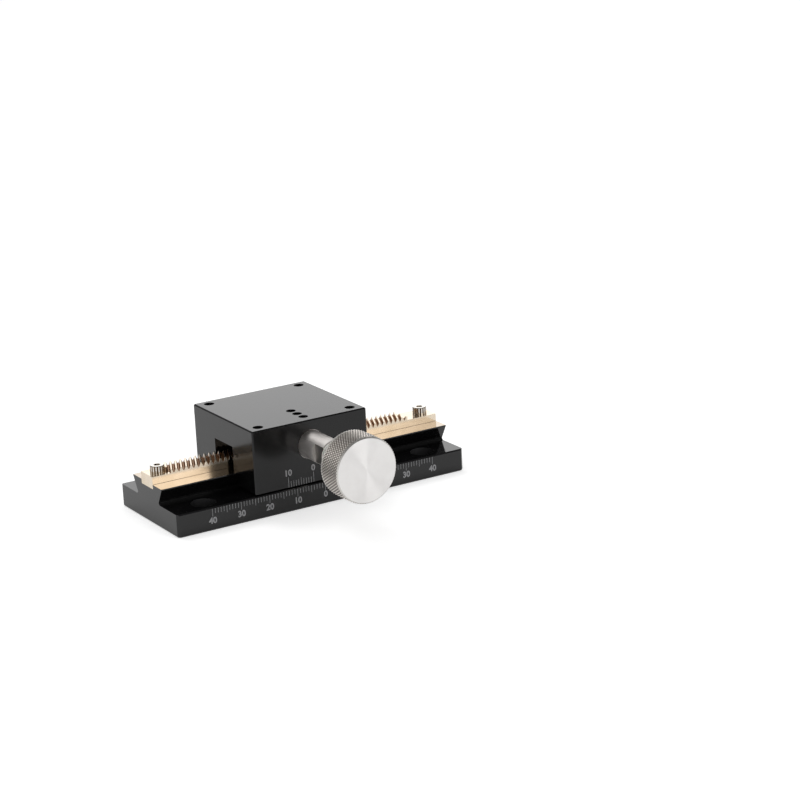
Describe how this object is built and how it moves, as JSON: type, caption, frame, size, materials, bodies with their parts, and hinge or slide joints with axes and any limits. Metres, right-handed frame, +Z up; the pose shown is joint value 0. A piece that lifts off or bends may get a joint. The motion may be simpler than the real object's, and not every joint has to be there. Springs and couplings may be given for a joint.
{
  "type": "linear translation stage",
  "caption": "Manual linear translation stage: a saddle slides on a dovetail rail, driven by a helical rack and pinion with a knurled knob and read on an engraved millimetre scale.",
  "frame": {"origin": "centre of the base's underside", "axes": "+X along the travel, -Y towards the knob and the engraved scale, +Z up out of the base's underside"},
  "size_m": [0.104, 0.074, 0.031],
  "materials": {
    "anodised_aluminium": "machined and black anodised, satin",
    "brass": "milled, bright",
    "stainless_steel": "turned stainless steel",
    "blackened_steel": "black oxide",
    "sintered_bronze": "oiled sintered bronze",
    "nylon": "natural nylon",
    "spring_steel": "phosphated spring steel"
  },
  "bodies": {
    "base": {"base_rail": "anodised_aluminium", "gear_rack": "brass", "rack_screw_left": "stainless_steel", "rack_screw_right": "stainless_steel"},
    "carriage": {"carriage_body": "anodised_aluminium", "gib_strip": "brass", "gib_screw_left": "blackened_steel", "gib_screw_middle": "blackened_steel", "gib_screw_right": "blackened_steel", "pinion_bush": "stainless_steel", "inner_sleeve": "sintered_bronze", "outer_sleeve": "sintered_bronze", "thrust_washer": "nylon", "friction_washer": "nylon", "bush_screw_outer": "blackened_steel", "bush_screw_middle": "blackened_steel", "bush_screw_inner": "blackened_steel"},
    "drive": {"pinion_shaft": "stainless_steel", "pinion_gear": "stainless_steel", "retaining_ring": "spring_steel", "control_knob": "stainless_steel", "knob_set_screw": "blackened_steel"}
  },
  "joints": [
    {"name": "carriage_slide", "type": "slide", "parent": "base", "child": "carriage", "axis": [1, 0, 0], "range_m": [-0.0358, 0.0442]},
    {"name": "knob_turn", "type": "hinge", "parent": "carriage", "child": "drive", "pos_m": [-0.0042, 0, 0.02043], "axis": [0, 1, 0], "range_deg": [-500, 617.2]}
  ],
  "couplings": [
    {"joint": "knob_turn", "follows": "carriage_slide", "rad_per_m": 243.61}
  ]
}
